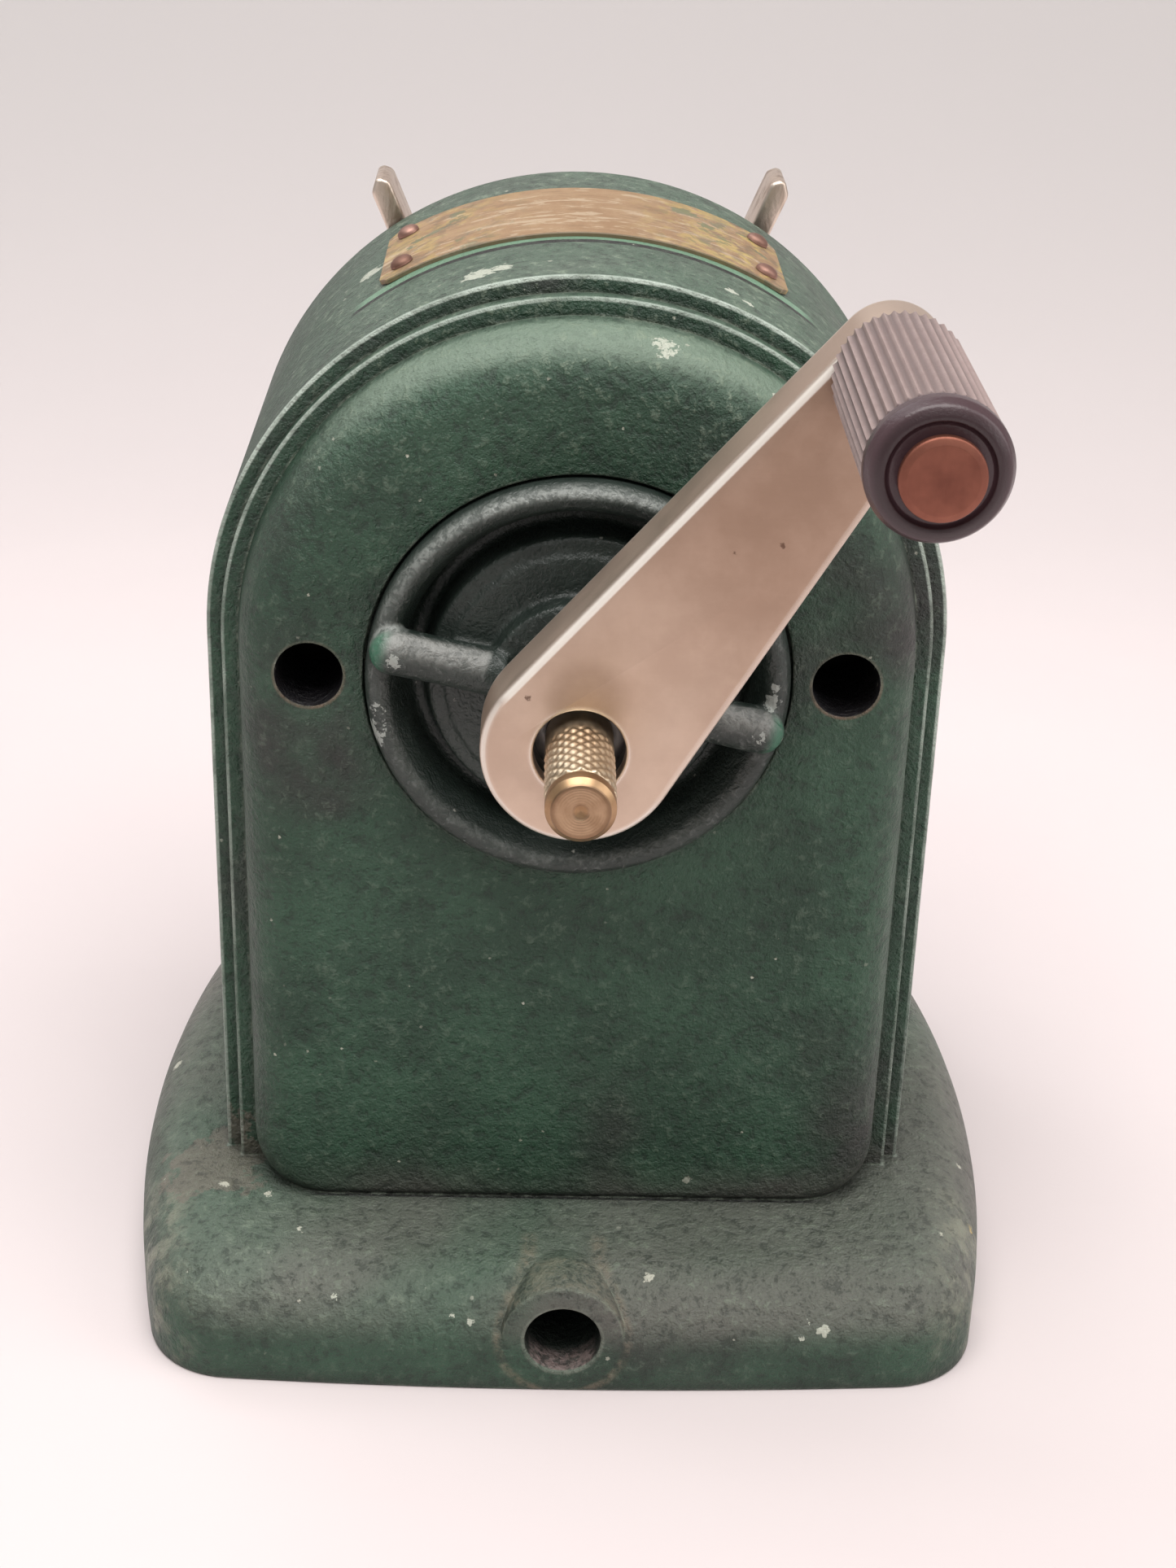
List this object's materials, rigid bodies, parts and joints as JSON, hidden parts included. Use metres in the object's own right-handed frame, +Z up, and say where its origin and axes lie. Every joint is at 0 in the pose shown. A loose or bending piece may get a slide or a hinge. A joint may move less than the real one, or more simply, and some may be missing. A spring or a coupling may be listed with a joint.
{
  "type": "desk pencil sharpener",
  "caption": "Hand-cranked desk pencil sharpener: arched cast housing on a rounded base, planetary milling cutter, spring-fed pencil clamp and shavings drawer.",
  "frame": {"origin": "centre of the underside of the base", "axes": "+Z up; -Y towards the crank, out of the clamp rod's hole; +X to the right as seen from the crank"},
  "size_m": [0.1054, 0.1241, 0.1269],
  "materials": {
    "green_paint": "old green enamel on cast metal, hazed and chipped",
    "dark_green_paint": "dark green enamel worn to bare metal on the ridges",
    "nickel": "worn warm nickel plating",
    "steel": "plain machined steel",
    "cutter_steel": "hardened steel",
    "brass": "dull worn brass",
    "copper": "tarnished copper",
    "bakelite": "plum-brown moulded resin, greyed on the flutes"
  },
  "bodies": {
    "frame": {"housing": "green_paint", "base": "green_paint", "clamp_socket": "green_paint", "nameplate": "brass", "nameplate_rivets": "copper", "rear_cover": "green_paint", "cover_screws": "nickel", "pencil_guide": "brass", "rod_bushes": "brass", "ring_gear": "steel", "gear_screws": "steel"},
    "cap": {"bearing_cap": "dark_green_paint", "cap_bush": "brass"},
    "crank": {"crank_arm": "nickel", "crank_hub": "steel", "hub_screw": "steel", "hollow_shaft": "steel", "retaining_nut": "brass", "cutter_carrier": "steel", "cutter_axle": "steel", "axle_nut": "brass", "knob_rivet": "copper"},
    "grip": {"knob": "bakelite"},
    "cutter": {"milling_cutter": "cutter_steel", "cutter_pinion": "brass"},
    "adjuster": {"adjusting_screw": "brass"},
    "stop": {"point_stop": "steel"},
    "carriage": {"carriage_plate": "green_paint", "guide_rods": "steel", "rod_collars": "brass", "rod_nuts": "nickel", "feed_springs": "steel", "lever_pins": "steel", "lever_plate": "nickel", "pin_clips": "steel", "lever_spring": "steel"},
    "left_clamp": {"left_lever": "nickel", "left_jaw": "steel", "jaw_rivets_left": "steel"},
    "right_clamp": {"right_lever": "nickel", "right_jaw": "steel", "jaw_rivets_right": "steel"},
    "drawer": {"drawer_tray": "steel", "drawer_front": "green_paint", "drawer_knob": "nickel", "drawer_screw": "steel"}
  },
  "joints": [
    {"name": "cap_turn", "type": "hinge", "parent": "frame", "child": "cap", "pos_m": [0, -0.028, 0.0805], "axis": [0, 1, 0], "range_deg": [0, 90]},
    {"name": "crank_turn", "type": "hinge", "parent": "frame", "child": "crank", "pos_m": [0, -0.028, 0.0805], "axis": [0, 1, 0], "continuous": true},
    {"name": "grip_spin", "type": "hinge", "parent": "crank", "child": "grip", "pos_m": [0.02884, -0.06, 0.12048], "axis": [0, 1, 0], "continuous": true},
    {"name": "cutter_spin", "type": "hinge", "parent": "crank", "child": "cutter", "pos_m": [0, -0.009, 0.08731], "axis": [0, 0.9833, 0.1822], "continuous": true},
    {"name": "adjuster_turn", "type": "hinge", "parent": "crank", "child": "adjuster", "pos_m": [0, -0.05, 0.0805], "axis": [0, 1, 0], "range_deg": [-720.1, 720.1]},
    {"name": "stop_slide", "type": "slide", "parent": "crank", "child": "stop", "axis": [0, 1, 0], "range_m": [-0.001, 0.001]},
    {"name": "feed_slide", "type": "slide", "parent": "frame", "child": "carriage", "axis": [0, 1, 0], "range_m": [0, 0.03], "stiffness_N_per_m": 200, "springref_m": -0.012, "deforming": ["feed_springs"]},
    {"name": "left_pinch", "type": "hinge", "parent": "carriage", "child": "left_clamp", "pos_m": [-0.013, 0.04, 0.098], "axis": [0, 1, 0], "range_deg": [0, 12], "stiffness_Nm_per_rad": 0.6, "springref_deg": -11.46, "deforming": ["lever_spring"]},
    {"name": "right_pinch", "type": "hinge", "parent": "carriage", "child": "right_clamp", "pos_m": [0.013, 0.038, 0.098], "axis": [0, 1, 0], "range_deg": [-12, 0]},
    {"name": "drawer_slide", "type": "slide", "parent": "frame", "child": "drawer", "axis": [0, 1, 0], "range_m": [0, 0.05]}
  ],
  "couplings": [
    {"joint": "cutter_spin", "follows": "crank_turn", "ratio": -3},
    {"joint": "adjuster_turn", "follows": "stop_slide", "rad_per_m": 12566},
    {"joint": "right_pinch", "follows": "left_pinch", "ratio": -1}
  ]
}
